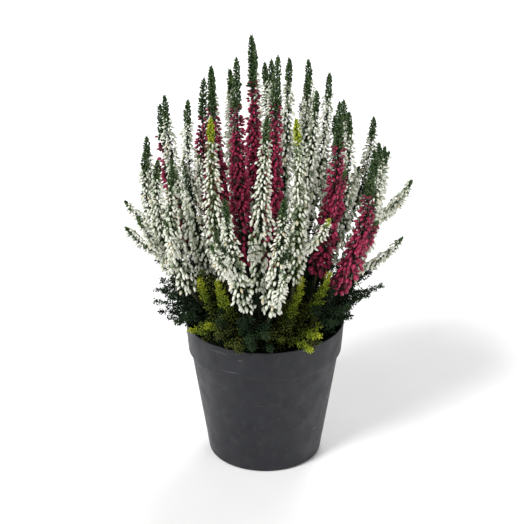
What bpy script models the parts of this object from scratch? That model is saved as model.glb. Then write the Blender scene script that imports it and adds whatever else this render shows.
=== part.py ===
"""A potted heather: a plastic nursery pot of peat with three heathers grown through one another.

Two of them have dark green leaves, one with white and one with crimson flower spikes. The third
has lime leaves and white spikes. Run it with: blender --background --python part.py
Units are metres and +Z is up. The origin is the middle of the pot's underside, and -Y is the front.
"""

import math
import random
from collections import namedtuple

import bmesh
import bpy
from mathutils import Vector
from mathutils.kdtree import KDTree

MM = 0.001
SEED = 4
GAP = 0.3 * MM

# Pot
RIM_RADIUS = 52.5 * MM
POT_HEIGHT = 97 * MM
COLLAR_HEIGHT = 22 * MM
COLLAR_TAPER = 1.7 * MM
COLLAR_STEP = 1.7 * MM
FOOT_RADIUS = 37.5 * MM
FOOT_BEVEL = 1.2 * MM
WALL = 1.2 * MM
FLOOR = 1.6 * MM
PAD_RADIUS = 12 * MM
CHANNEL_DEPTH = 2 * MM
CHANNEL_RADII = (14 * MM, 29 * MM)
POT_SIDES = 28
DRAIN_HOLES = 8
DRAIN_RADIUS = 3 * MM
DRAIN_SIDES = 8

# Soil
SOIL_DEPTH_BELOW_RIM = 12 * MM
SOIL_HEIGHT = POT_HEIGHT - SOIL_DEPTH_BELOW_RIM
SOIL_MOUND = 2.5 * MM
SOIL_LUMPS = 0.35 * MM
SOIL_SIDES = 20

# Stems
HOLE_DEPTH = 24 * MM
TRUNK_RADIUS = 1.9 * MM
BRANCH_RADIUS = 1.3 * MM
TRUNK_SIDES = 5
BRANCH_SIDES = 4
TRUNK_STRAIGHT = 3.5 * MM

# Flower spikes
SPIKE_SIDES = 5
SPIKE_ROWS = 8
SIDE_RADIUS = 5.2 * MM
SIDE_SIDES = 4
SIDE_ROWS = 4
SIDE_STALK = 1.1 * MM
SIDE_LENGTHS = (32 * MM, 48 * MM)
SIDE_REACHES = (14 * MM, 20 * MM)
SIDES_PER_SPIKE = {"core": 0, "inner": 0, "outer": 1, "skirt": 1}
WHITE_TIP_SHARE = 0.13
CRIMSON_TIP_SHARE = 0.24
TIP_RADIUS = 2.8 * MM
CRIMSON_EXTRA_HEIGHT = 12 * MM
BUD_DROOP = 2.5 * MM
NET_SHARE = 0.36

# Twigs and lime shoots
TWIG_RADIUS = 3.4 * MM
TWIG_LENGTHS = (14 * MM, 30 * MM)
TWIG_REACHES = (0.55, 0.9)
TWIG_BASE_SHARE = 0.4
TWIGS_PER_STEM = 6
SHOOT_RADIUS = 4.4 * MM
TWIG_CORE = 0.9 * MM
LEAF_LIFT = 2.2 * MM

CLEARANCE = 0.6 * MM
BEAD_SPACING = 3 * MM
SHORTEST_EDGE = 0.01 * MM
DRAWS_PER_PLACE = 80
TWIG_DRAWS = 2000

COLOURS = {
    "pot_plastic": (0.055, 0.056, 0.062),
    "soil_peat": (0.016, 0.011, 0.008),
    "dark_leaf": (0.035, 0.075, 0.022),
    "lime_leaf": (0.20, 0.26, 0.020),
    "white_bud": (0.74, 0.76, 0.64),
    "crimson_bud": (0.24, 0.012, 0.045),
}
ROUGHNESS = {"pot_plastic": 0.45}
DEFAULT_ROUGHNESS = 0.7

# Layout of the plant: where each stem, spike and twig runs
Curve = namedtuple("Curve", "start control end")
Ring = namedtuple("Ring", "start_radius start_height end_radius end_height bulge body_radius")
Spike = namedtuple("Spike", "name colour curve radius tip_share sides")
Twig = namedtuple("Twig", "curve radius")
Stem = namedtuple("Stem", "name colour hole trunk branches twigs")

# Radii from the pot's axis and heights above the soil, for the start and the end of a spike, then
# how far its axis bends out, and the spike's own radius
RINGS = {
    "core": Ring(9.5 * MM, 70 * MM, 15 * MM, 207 * MM, 1 * MM, 6.8 * MM),
    "inner": Ring(25 * MM, 64 * MM, 39 * MM, 190 * MM, 5 * MM, 7.2 * MM),
    "outer": Ring(42 * MM, 57 * MM, 60 * MM, 170 * MM, 9 * MM, 8 * MM),
    "skirt": Ring(57 * MM, 47 * MM, 78 * MM, 139 * MM, 12 * MM, 8 * MM),
}
WIDEST = max(ring.body_radius for ring in RINGS.values())
INNER_HOLE_RADIUS = 8 * MM
OUTER_HOLE_RADIUS = 24 * MM
FORK_HEIGHTS = {"inner": 34 * MM, "outer": 22 * MM}
FORK_RADII = {"inner": 12 * MM, "outer": 34 * MM}
FRONT = -90.0
# Kinds of the outer stems, counted anticlockwise from the front, and of the inner stems
OUTER_KINDS = ("white", "lime", "crimson", "white", "white", "white",
               "white", "lime", "crimson", "white", "white", "lime")
INNER_KINDS = ("crimson", "white", "white")
OUTER_STEP = 360 / len(OUTER_KINDS)
INNER_STEP = 360 / len(INNER_KINDS)
INNER_TURN = -25.0
INNER_FAN = (-38.0, 0.0, 38.0)
SKIRT_FAN = {"white": (-8.0, 8.0), "crimson": (0.0,), "lime": ()}
LIME_SHOOT_FAN = (-10.0, 10.0)
LIME_SHOOT_RING = Ring(41 * MM, 24 * MM, 60 * MM, 64 * MM, 4 * MM, SHOOT_RADIUS)


def polar(radius, degrees, height):
    """A point at a radius and azimuth from the pot's axis, and a height above the soil."""
    angle = math.radians(degrees)
    return Vector((radius * math.cos(angle), radius * math.sin(angle), SOIL_HEIGHT + height))


def point_on(curve, t):
    return (1 - t) ** 2 * curve.start + 2 * t * (1 - t) * curve.control + t**2 * curve.end


def tangent_on(curve, t):
    leg_1 = curve.control - curve.start
    leg_2 = curve.end - curve.control
    return ((1 - t) * leg_1 + t * leg_2).normalized()


def beads_on(curve):
    """Points spread evenly along a curve."""
    count = max(3, int((curve.end - curve.start).length / BEAD_SPACING) + 1)
    return [point_on(curve, i / (count - 1)) for i in range(count)]


class Space:
    """The room that is taken, as beads along every axis placed so far, and whose they are."""

    def __init__(self):
        self.taken = []
        self.tree = None

    def room(self, curve, radius, owner=None):
        """How far a body of this radius along the curve keeps off what others took nearby."""
        if self.tree is None:
            self.tree = KDTree(len(self.taken))
            for i, (centre, _, _) in enumerate(self.taken):
                self.tree.insert(centre, i)
            self.tree.balance()
        least = CLEARANCE + WIDEST
        for bead in beads_on(curve):
            for _, i, apart in self.tree.find_range(bead, radius + WIDEST + CLEARANCE):
                _, other_radius, other_owner = self.taken[i]
                if other_owner != owner:
                    least = min(least, apart - radius - other_radius)
        return least

    def take(self, curve, radius, owner):
        self.taken += [(bead, radius, owner) for bead in beads_on(curve)]
        self.tree = None


def ring_curve(ring, degrees, draw, extra_height=0.0):
    """The axis of a spike or shoot: out from its ring, then up, a little different each time."""
    start = polar(ring.start_radius + draw.uniform(-1, 1) * MM, degrees + draw.uniform(-2, 2),
                  ring.start_height + draw.uniform(-4, 4) * MM)
    end = polar(ring.end_radius * draw.uniform(0.88, 1.06), degrees + draw.uniform(-9, 9),
                ring.end_height * draw.uniform(0.9, 1.04) + extra_height)
    outward = Vector((start.x, start.y, 0)).normalized()
    control = (start + end) / 2 + outward * ring.bulge - Vector((0, 0, ring.bulge / 2))
    return Curve(start, control, end)


def placed(space, ring, degrees, draw, owner, extra_height=0.0):
    """The first of some drawn ring_curves that is clear of what is there, or else the clearest."""
    best, most_room = None, -1.0
    for _ in range(DRAWS_PER_PLACE):
        curve = ring_curve(ring, degrees, draw, extra_height)
        room = space.room(curve, ring.body_radius, owner)
        if room > most_room:
            best, most_room = curve, room
        if room > CLEARANCE:
            break
    space.take(best, ring.body_radius, owner)
    return best


def side_shoot(limb, t, draw, length, reach):
    """A shoot from a place on a limb, which ends at a distance aside of it after curving up."""
    start = point_on(limb, t)
    along = tangent_on(limb, t)
    outward = Vector((start.x, start.y, 0)).normalized()
    around = Vector((draw.gauss(0, 1), draw.gauss(0, 1), draw.gauss(0.25, 0.5))) + outward * 0.9
    aside = (around - along * around.dot(along)).normalized()
    height = math.sqrt(length**2 - reach**2)
    control = start + aside * reach * 0.75 + along * height * 0.3
    return Curve(start, control, start + aside * reach + along * height)


def side_spikes(space, curve, wanted, owner, draw):
    """The short spikes on the lower part of a long one, as many as are wanted and find room."""
    sides = []
    for _ in range(DRAWS_PER_PLACE):
        if len(sides) == wanted:
            break
        side = side_shoot(curve, draw.uniform(0.05, 0.4), draw, draw.uniform(*SIDE_LENGTHS),
                          draw.uniform(*SIDE_REACHES))
        if space.room(side, SIDE_RADIUS, owner) > CLEARANCE:
            space.take(side, SIDE_RADIUS, owner)
            sides.append(side)
    return sides


def clear_of_pot(curve, radius):
    """Whether a twig keeps off the soil and off the rim, inside it or above it."""
    lowest = SOIL_HEIGHT + SOIL_MOUND + 1 * MM
    inside = RIM_RADIUS - WALL - COLLAR_TAPER - 1 * MM
    for i in range(9):
        point = point_on(curve, i / 8)
        out = math.hypot(point.x, point.y)
        if point.z < lowest + radius * min(1, i / 2):
            return False
        if point.z < POT_HEIGHT + radius + 1 * MM and out + radius > inside:
            return False
    return True


def grown_twigs(space, limbs, owner, draw):
    """The leafy twigs of one stem: those of a run of draws that touch nothing else."""
    twigs = []
    for _ in range(TWIG_DRAWS):
        if len(twigs) == TWIGS_PER_STEM:
            break
        length = draw.uniform(*TWIG_LENGTHS)
        curve = side_shoot(draw.choice(limbs), draw.uniform(0.05, 0.97), draw, length,
                           length * draw.uniform(*TWIG_REACHES))
        leafy = Curve(point_on(curve, TWIG_BASE_SHARE), point_on(curve, 0.7), curve.end)
        crowded = any((curve.start - twig.curve.start).length < TWIG_RADIUS for twig in twigs)
        if crowded or not clear_of_pot(curve, TWIG_RADIUS):
            continue
        if min(space.room(curve, TWIG_RADIUS, owner), space.room(leafy, TWIG_RADIUS)) > CLEARANCE:
            space.take(curve, TWIG_RADIUS, owner)
            twigs.append(Twig(curve, TWIG_RADIUS))
    return twigs


def branch_to(fork, curve):
    """The branch from a fork that ends just short of a spike's foot, in line with it."""
    along = tangent_on(curve, 0)
    end = curve.start - along * GAP
    return Curve(fork, end - along * (end - fork).length * 0.5, end)


def stem_plan():
    """Kind, place and azimuth of every stem."""
    inner = [(kind, "inner", FRONT + INNER_TURN + i * INNER_STEP) for i, kind in enumerate(INNER_KINDS)]
    outer = [(kind, "outer", FRONT + i * OUTER_STEP) for i, kind in enumerate(OUTER_KINDS)]
    return inner + outer


def spike_plan(kind, place, degrees):
    """Ring and azimuth of every spike that a stem carries."""
    if place == "inner":
        return [("core", degrees)] + [("inner", degrees + turn) for turn in INNER_FAN]
    return [("outer", degrees)] + [("skirt", degrees + turn) for turn in SKIRT_FAN[kind]]


def laid_out_spikes(space, draw):
    """Every spike with its side spikes, and the long spikes' curves stem by stem."""
    spikes, curves_by_stem, sides_wanted = [], [], []
    counts = {"white": 0, "crimson": 0}
    for kind, place, degrees in stem_plan():
        colour = "crimson" if kind == "crimson" else "white"
        extra_height = CRIMSON_EXTRA_HEIGHT if colour == "crimson" else 0.0
        tip_share = CRIMSON_TIP_SHARE if colour == "crimson" else WHITE_TIP_SHARE
        curves = []
        for ring, azimuth in spike_plan(kind, place, degrees):
            curve = placed(space, RINGS[ring], azimuth, draw, -1 - len(spikes), extra_height)
            counts[colour] += 1
            name = f"{colour}_spike_{counts[colour]:02d}"
            spikes.append(Spike(name, colour, curve, RINGS[ring].body_radius, tip_share, []))
            curves.append(curve)
            sides_wanted.append(SIDES_PER_SPIKE[ring])
        curves_by_stem.append(curves)
    for i, (spike, wanted) in enumerate(zip(spikes, sides_wanted)):
        spike.sides.extend(side_spikes(space, spike.curve, wanted, -1 - i, draw))
    return spikes, curves_by_stem


def laid_out_plant():
    """Every spike and every stem of the plant, each clear of the others."""
    draw = random.Random(SEED)
    space = Space()
    spikes, curves_by_stem = laid_out_spikes(space, draw)
    stems = []
    for number, (kind, place, degrees) in enumerate(stem_plan()):
        hole = polar(INNER_HOLE_RADIUS if place == "inner" else OUTER_HOLE_RADIUS, degrees, 0)
        fork = polar(FORK_RADII[place], degrees, FORK_HEIGHTS[place])
        ground = hole + Vector((0, 0, TRUNK_STRAIGHT))
        trunk = Curve(ground, ground + Vector((0, 0, (fork - ground).length * 0.5)), fork)
        turns = LIME_SHOOT_FAN if kind == "lime" else ()
        shoots = [placed(space, LIME_SHOOT_RING, degrees + turn, draw, number) for turn in turns]
        branches = [branch_to(fork, curve) for curve in curves_by_stem[number] + shoots]
        for limb in [trunk] + branches:
            space.take(limb, TRUNK_RADIUS, number)
        twigs = [Twig(curve, SHOOT_RADIUS) for curve in shoots]
        colour = "lime" if kind == "lime" else "dark"
        name = f"{colour}_leafy_stem_{number + 1:02d}"
        stems.append(Stem(name, colour + "_leaf", hole, trunk, branches, twigs))
    for number, stem in enumerate(stems):
        stem.twigs.extend(grown_twigs(space, [stem.trunk, *stem.branches], number, draw))
    return spikes, stems


# Meshes
def material_of(name):
    made = bpy.data.materials.get(name)
    if made is None:
        made = bpy.data.materials.new(name)
        made.use_nodes = True
        shader = made.node_tree.nodes["Principled BSDF"]
        shader.inputs["Base Color"].default_value = (*COLOURS[name], 1)
        shader.inputs["Roughness"].default_value = ROUGHNESS.get(name, DEFAULT_ROUGHNESS)
        shader.inputs["Metallic"].default_value = 0
    return made


def object_of(name, points, faces, material):
    mesh = bpy.data.meshes.new(name)
    mesh.from_pydata(points, [], faces)
    mesh.materials.append(material_of(material))
    made = bpy.data.objects.new(name, mesh)
    bpy.context.scene.collection.objects.link(made)
    return made


def ring_points(centre, across, other, radius, sides, turn=0.0):
    """The corners of a regular polygon round a centre. A turn of 1 is one corner further."""
    angles = [2 * math.pi * (j + turn) / sides for j in range(sides)]
    return [centre + radius * (math.cos(a) * across + math.sin(a) * other) for a in angles]


def tube(name, rings, sides, material):
    """A closed tube through rings given as (centre, across, other, radius)."""
    points = [point for ring in rings for point in ring_points(*ring, sides)]
    faces = [tuple(range(sides))[::-1]]
    for i in range(len(rings) - 1):
        low, high = i * sides, (i + 1) * sides
        for j in range(sides):
            k = (j + 1) % sides
            faces.append((low + j, low + k, high + k, high + j))
    faces.append(tuple(range(len(points) - sides, len(points))))
    return object_of(name, points, faces, material)


def limb_tube(name, centres, radii, sides, material):
    """A closed tube through centres, whose first ring lies level and whose sides don't twist."""
    across = Vector((1, 0, 0))
    rings = []
    for i, (centre, radius) in enumerate(zip(centres, radii)):
        before, after = centres[max(i - 1, 0)], centres[min(i + 1, len(centres) - 1)]
        along = (after - before).normalized()
        across = (across - along * across.dot(along)).normalized()
        rings.append((centre, across, along.cross(across), radius))
    return tube(name, rings, sides, material)


def turned(name, profile, sides, material):
    """A solid of revolution about +Z from (radius, height) pairs, closed flat at both ends."""
    rings = [(Vector((0, 0, z)), Vector((1, 0, 0)), Vector((0, 1, 0)), r) for r, z in profile]
    return tube(name, rings, sides, material)


def upright_prism(name, x, y, low, high, radius, sides, material):
    rings = [(Vector((x, y, z)), Vector((1, 0, 0)), Vector((0, 1, 0)), radius) for z in (low, high)]
    return tube(name, rings, sides, material)


def relief_tube(name, curve, rows, sides, net, reach, lift, material):
    """A closed tube on a curve whose staggered net of cells is raised into a point on each cell.

    net and reach give the radii of the net and of the points at each share of the length. lift is
    how far a point stands towards the tube's tip, or below its cell where it is negative.
    """
    normal = (curve.control - curve.start).cross(curve.end - curve.control)
    if normal.length < 1e-9:
        normal = (curve.end - curve.start).cross(Vector((0.3, 1, 0.2)))
    across = normal.normalized()
    shares = [0.955 * i / (rows - 1) for i in range(rows)]
    points, faces = [], []
    for i, t in enumerate(shares):
        other = tangent_on(curve, t).cross(across)
        points += ring_points(point_on(curve, t), across, other, net(t), sides, 0.5 * (i % 2))

    def corner(i, j):
        return i * sides + j % sides

    for i, t in enumerate(shares[1:-1]):
        along = tangent_on(curve, t)
        centre = point_on(curve, t) + along * lift
        peaks = ring_points(centre, across, along.cross(across), reach(t), sides, 0.5 * (i % 2))
        shift = i % 2
        for j, peak in enumerate(peaks):
            apex = len(points)
            points.append(peak)
            bottom, top = corner(i, j), corner(i + 2, j)
            left, right = corner(i + 1, j - 1 + shift), corner(i + 1, j + shift)
            faces += [(bottom, right, apex), (right, top, apex), (top, left, apex), (left, bottom, apex)]
    last = rows - 1
    tip = len(points)
    points.append(curve.end)
    for j in range(sides):
        faces.append((corner(0, j), corner(0, j + 1), corner(1, j)))
        faces.append((corner(last - 1, j + last % 2), corner(last, j + 1), corner(last, j)))
        faces.append((corner(last, j), corner(last, j + 1), tip))
    faces.append(tuple(range(sides))[::-1])
    return object_of(name, points, faces, material)


def tidied(obj):
    """Merges a mesh's shortest edges, and drops the shells that a union leaves inside it."""
    mesh = bmesh.new()
    mesh.from_mesh(obj.data)
    bmesh.ops.triangulate(mesh, faces=mesh.faces)
    bmesh.ops.dissolve_degenerate(mesh, dist=SHORTEST_EDGE, edges=mesh.edges)
    shells, seen = [], set()
    for first in mesh.verts:
        if first in seen:
            continue
        shell, waiting = [], [first]
        seen.add(first)
        while waiting:
            vert = waiting.pop()
            shell.append(vert)
            neighbours = [edge.other_vert(vert) for edge in vert.link_edges]
            fresh = [other for other in neighbours if other not in seen]
            seen.update(fresh)
            waiting.extend(fresh)
        shells.append(shell)
    shells.sort(key=len)
    bmesh.ops.delete(mesh, geom=[vert for shell in shells[:-1] for vert in shell], context="VERTS")
    mesh.to_mesh(obj.data)
    mesh.free()
    return obj


def boolean(obj, operation, parts, solver="EXACT"):
    """Joins parts to obj, or cuts them from it, and removes them."""
    group = bpy.data.collections.new(obj.name + "_parts")
    bpy.context.scene.collection.children.link(group)
    for part in parts:
        bpy.context.scene.collection.objects.unlink(part)
        group.objects.link(part)
    modifier = obj.modifiers.new("join", "BOOLEAN")
    modifier.operation = operation
    modifier.operand_type = "COLLECTION"
    modifier.collection = group
    modifier.solver = solver
    bpy.context.view_layer.objects.active = obj
    bpy.ops.object.modifier_apply(modifier=modifier.name)
    for part in parts:
        bpy.data.objects.remove(part)
    bpy.data.collections.remove(group)
    return tidied(obj)


def wall_radius(height):
    """The pot's outer radius under the collar, at a height."""
    top = POT_HEIGHT - COLLAR_HEIGHT
    upper = RIM_RADIUS - COLLAR_TAPER - COLLAR_STEP
    return FOOT_RADIUS + (upper - FOOT_RADIUS) * height / top


def pot_profile():
    """(radius, height) pairs from the pad under the middle, up the outside and down the inside."""
    step = POT_HEIGHT - COLLAR_HEIGHT
    collar = RIM_RADIUS - COLLAR_TAPER
    inner, outer = CHANNEL_RADII
    raised = FLOOR + CHANNEL_DEPTH
    under = [(PAD_RADIUS, 0), (inner, CHANNEL_DEPTH), (outer, CHANNEL_DEPTH), (outer + FOOT_BEVEL, 0)]
    outside = [(FOOT_RADIUS - FOOT_BEVEL, 0), (wall_radius(FOOT_BEVEL), FOOT_BEVEL),
               (wall_radius(step), step), (collar, step + 0.8 * MM),
               (RIM_RADIUS, POT_HEIGHT - 0.6 * MM)]
    rim = [(RIM_RADIUS - 0.3 * MM, POT_HEIGHT), (RIM_RADIUS - WALL, POT_HEIGHT)]
    inside = [(collar - WALL, step + 1.2 * MM), (wall_radius(step) - WALL, step - 0.6 * MM),
              (wall_radius(FLOOR) - WALL - FOOT_BEVEL, FLOOR)]
    floor = [(outer + 0.4 * MM, FLOOR), (outer - 0.8 * MM, raised), (inner + 0.8 * MM, raised),
             (PAD_RADIUS - 0.4 * MM, FLOOR)]
    return under + outside + rim + inside + floor


def build_pot():
    pot = turned("pot", pot_profile(), POT_SIDES, "pot_plastic")
    middle = sum(CHANNEL_RADII) / 2
    drains = []
    for i in range(DRAIN_HOLES):
        angle = 2 * math.pi * (i + 0.5) / DRAIN_HOLES
        drains.append(upright_prism(f"drain_{i}", middle * math.cos(angle), middle * math.sin(angle),
                                    -1 * MM, 10 * MM, DRAIN_RADIUS, DRAIN_SIDES, "pot_plastic"))
    boolean(pot, "DIFFERENCE", drains)
    pot.data.shade_smooth()
    pot.data.set_sharp_from_angle(angle=math.radians(35))
    return pot


def soil_top(x, y):
    """Height of the soil's surface: a low mound with shallow lumps."""
    out = math.hypot(x, y) / RIM_RADIUS
    lumps = math.sin(x / MM * 0.33 + 1.0) * math.cos(y / MM * 0.29) + math.sin((x + y) / MM * 0.21)
    return SOIL_HEIGHT - 1 * MM + SOIL_MOUND * (1 - out**2) + SOIL_LUMPS * lumps


def build_soil(stems):
    """The root ball: it fills the pot up to the collar's middle, less a plain hole for each stem."""
    step = POT_HEIGHT - COLLAR_HEIGHT
    bottom = FLOOR + CHANNEL_DEPTH + GAP
    rim = RIM_RADIUS - COLLAR_TAPER - WALL - GAP
    sides = [(wall_radius(bottom) - WALL - 1.5 * MM, bottom),
             (wall_radius(step) - WALL - 2 * GAP, step - 0.6 * MM), (rim, step + 1.6 * MM)]
    top_radii = [rim, 0.72 * rim, 0.4 * rim]
    points, faces = [], []
    for radius, height in sides + [(radius, None) for radius in top_radii]:
        for point in ring_points(Vector(), Vector((1, 0, 0)), Vector((0, 1, 0)), radius, SOIL_SIDES, 0.35):
            point.z = soil_top(point.x, point.y) if height is None else height
            points.append(point)
    faces.append(tuple(range(SOIL_SIDES))[::-1])
    for low in range(0, len(points) - SOIL_SIDES, SOIL_SIDES):
        for j in range(SOIL_SIDES):
            k = (j + 1) % SOIL_SIDES
            faces.append((low + j, low + k, low + SOIL_SIDES + k, low + SOIL_SIDES + j))
    centre = len(points)
    points.append(Vector((0, 0, soil_top(0, 0))))
    for j in range(SOIL_SIDES):
        faces.append((centre - SOIL_SIDES + j, centre - SOIL_SIDES + (j + 1) % SOIL_SIDES, centre))
    soil = object_of("soil", points, faces, "soil_peat")
    hole_radius = TRUNK_RADIUS + GAP / math.cos(math.pi / TRUNK_SIDES)
    holes = [upright_prism(f"hole_{i}", stem.hole.x, stem.hole.y, SOIL_HEIGHT - HOLE_DEPTH - GAP,
                           SOIL_HEIGHT + 8 * MM, hole_radius, TRUNK_SIDES, "soil_peat")
             for i, stem in enumerate(stems)]
    return boolean(soil, "DIFFERENCE", holes)


def spike_reach(radius, tip_share):
    """How far a spike's points stand from its axis, at each share of its length."""
    def reach(t):
        along = t / (1 - tip_share)
        if along > 1:
            return TIP_RADIUS
        return radius * min(1, 0.65 + 3 * along) * (1 - 0.38 * along**2.2)
    return reach


def build_spike(spike):
    """A long flower spike and the short ones on its lower part, in one body."""
    reach = spike_reach(spike.radius, spike.tip_share)

    def net(t):
        return BRANCH_RADIUS if t == 0 else max(NET_SHARE * reach(t), 0.5 * TIP_RADIUS)

    def side_reach(t):
        return SIDE_RADIUS * min(1, 0.3 + 1.2 * t) * (1 - 0.4 * t**1.6)

    def side_net(t):
        return SIDE_STALK if t < 0.3 else NET_SHARE * side_reach(t)

    material = spike.colour + "_bud"
    long = relief_tube(spike.name, spike.curve, SPIKE_ROWS, SPIKE_SIDES, net, reach, -BUD_DROOP, material)
    parts = [relief_tube(f"side_{i}", side, SIDE_ROWS, SIDE_SIDES, side_net, side_reach, -BUD_DROOP, material)
             for i, side in enumerate(spike.sides)]
    return boolean(long, "UNION", parts) if parts else long


def build_twig(name, twig, colour):
    rows, sides = (7, 4) if twig.radius == SHOOT_RADIUS else (4, 3)

    def reach(t):
        return twig.radius * (1 - 0.45 * t)

    def net(t):
        return TWIG_CORE * (1 - 0.5 * t)

    return relief_tube(name, twig.curve, rows, sides, net, reach, LEAF_LIFT, colour)


def build_stem(stem):
    """A trunk in its hole with its first branch as one limb, then the other branches and the twigs."""
    first, others = stem.branches[0], stem.branches[1:]
    centres = [stem.hole - Vector((0, 0, HOLE_DEPTH)), stem.trunk.start]
    centres += [point_on(curve, t) for curve in (stem.trunk, first) for t in (0.5, 1)]
    radii = [TRUNK_RADIUS] * 3 + [0.5 * (TRUNK_RADIUS + BRANCH_RADIUS)] + [BRANCH_RADIUS] * 2
    limb = limb_tube(stem.name, centres, radii, TRUNK_SIDES, stem.colour)
    parts = []
    for i, branch in enumerate(others):
        points = [point_on(branch, t) for t in (0, 0.5, 1)]
        parts.append(limb_tube(f"branch_{i}", points, [BRANCH_RADIUS] * 3, BRANCH_SIDES, stem.colour))
    parts += [build_twig(f"twig_{i}", twig, stem.colour) for i, twig in enumerate(stem.twigs)]
    return boolean(limb, "UNION", parts, "MANIFOLD")


def main():
    for obj in list(bpy.data.objects):
        bpy.data.objects.remove(obj)
    spikes, stems = laid_out_plant()
    build_pot()
    build_soil(stems)
    for stem in stems:
        build_stem(stem)
    for spike in spikes:
        build_spike(spike)


main()
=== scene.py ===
"""The looks of a potted heather: its buds, leaves, bark, peat and pot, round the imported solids.

The plant is laid out as in the part's source, so every bud and leaf sits on the solid it stands for.
Units are metres and +Z is up. The origin is the middle of the pot's underside, and -Y is the front.
"""
import random
from collections import namedtuple
from math import cos, hypot, pi, radians, sin, sqrt

import bpy
import numpy as np
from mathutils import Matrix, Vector, noise
from mathutils.kdtree import KDTree


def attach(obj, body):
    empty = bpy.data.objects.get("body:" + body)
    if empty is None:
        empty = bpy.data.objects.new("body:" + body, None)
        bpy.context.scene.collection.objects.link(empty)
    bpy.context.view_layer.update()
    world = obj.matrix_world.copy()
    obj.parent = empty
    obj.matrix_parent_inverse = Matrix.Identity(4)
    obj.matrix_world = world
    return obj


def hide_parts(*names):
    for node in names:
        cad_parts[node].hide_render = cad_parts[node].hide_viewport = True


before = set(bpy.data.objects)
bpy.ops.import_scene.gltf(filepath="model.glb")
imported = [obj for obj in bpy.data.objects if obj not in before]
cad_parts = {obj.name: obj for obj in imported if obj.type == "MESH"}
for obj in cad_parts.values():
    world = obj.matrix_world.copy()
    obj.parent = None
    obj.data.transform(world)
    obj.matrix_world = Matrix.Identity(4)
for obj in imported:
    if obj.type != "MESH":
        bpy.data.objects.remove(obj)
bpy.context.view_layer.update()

MM = 0.001
SEED = 4
GAP = 0.3 * MM
UP = Vector((0, 0, 1))


def mm(*values):
    return tuple(value * MM for value in values)


def between(ends, share):
    return ends[0] + (ends[1] - ends[0]) * share


# Pot
RIM_RADIUS = 52.5 * MM
POT_HEIGHT = 97 * MM
COLLAR_HEIGHT = 22 * MM
STEP_HEIGHT = POT_HEIGHT - COLLAR_HEIGHT
COLLAR_TAPER = 1.7 * MM
COLLAR_STEP = 1.7 * MM
COLLAR_SLOPE = 0.8 * MM
INNER_SLOPE = mm(-0.6, 1.2)
FOOT_RADIUS = 37.5 * MM
FOOT_BEVEL = 1.2 * MM
WALL = 1.2 * MM
FLOOR = 1.6 * MM
PAD_RADIUS = 12 * MM
CHANNEL_DEPTH = 2 * MM
CHANNEL_RADII = mm(14, 29)
CHANNEL_SLOPE = mm(0.4, 0.8)
DRAIN_HOLES = 8
DRAIN_RADIUS = 3 * MM
DRAIN_HEIGHTS = mm(-1, 10)
DRAIN_SIDES = 20
POT_SIDES = 144
POT_ROUNDING = 0.5 * MM
ROUNDING_STEPS = 4
POT_WARP = 0.15 * MM
SHARP_EDGE = radians(40)

# Soil
SOIL_DEPTH_BELOW_RIM = 12 * MM
SOIL_HEIGHT = POT_HEIGHT - SOIL_DEPTH_BELOW_RIM
SOIL_MOUND = 2.5 * MM
SOIL_RINGS = 44
SOIL_SIDES = 120
SOIL_SINK = 0.6 * MM
SOIL_SLOPE = mm(-0.6, 1.6)
SOIL_OFF_WALL = 1.5 * MM
SOIL_GRAIN = 5 * MM
SOIL_ROUGHNESS = 1.1 * MM
CRUMBS = 700
CRUMB_RADII = mm(0.35, 1.5)
FIBRES = 130
FIBRE_LENGTHS = mm(3, 9)
FIBRE_WIDTH = 0.5 * MM
FIBRES_OFF_RIM = 6 * MM

# Stems, spikes and twigs
TRUNK_RADIUS = 1.9 * MM
TRUNK_STRAIGHT = 3.5 * MM
SIDE_RADIUS = 5.2 * MM
SIDE_PLACES = (0.05, 0.4)
SIDE_LENGTHS = mm(32, 48)
SIDE_REACHES = mm(14, 20)
HIDDEN_RINGS = ("core", "inner")
CRIMSON_EXTRA_HEIGHT = 12 * MM
TWIG_RADIUS = 3.4 * MM
TWIG_PLACES = (0.05, 0.97)
TWIG_LENGTHS = mm(14, 30)
TWIG_REACHES = (0.55, 0.9)
TWIG_BASE_SHARE = 0.4
TWIGS_PER_STEM = 6
SHOOT_RADIUS = 4.4 * MM
CLEARANCE = 0.6 * MM
BEAD_SPACING = 3 * MM
DRAWS_PER_PLACE = 80
TWIG_DRAWS = 2000


# Layout of the plant: where each stem, spike and twig runs
class Curve(namedtuple("Curve", "start control end")):
    """A bend from a start to an end, pulled towards a control point."""

    def at(self, t):
        return (1 - t) ** 2 * self.start + 2 * t * (1 - t) * self.control + t**2 * self.end

    def along(self, t):
        return ((1 - t) * (self.control - self.start) + t * (self.end - self.control)).normalized()

    def on(self, t):
        return self.at(t), self.along(t)

    def length(self, first=0, last=1):
        return (self.at(last) - self.at(first)).length


Ring = namedtuple("Ring", "start_radius start_height end_radius end_height bulge body_radius")
Spike = namedtuple("Spike", "name colour leaf ring curve sides")
Stem = namedtuple("Stem", "name leaf degrees hole trunk branches twigs")

# Radii from the pot's axis and heights above the soil, then how far the axis of a spike bends out,
# and the spike's own radius
RINGS = {
    "core": Ring(*mm(9.5, 70, 15, 207, 1, 6.8)),
    "inner": Ring(*mm(25, 64, 39, 190, 5, 7.2)),
    "outer": Ring(*mm(42, 57, 60, 170, 9, 8)),
    "skirt": Ring(*mm(57, 47, 78, 139, 12, 8)),
}
WIDEST = max(ring.body_radius for ring in RINGS.values())
# Radius of a stem's hole, and radius and height of its fork
FORKS = {"inner": mm(8, 12, 34), "outer": mm(24, 34, 22)}
FRONT = -90.0
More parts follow.
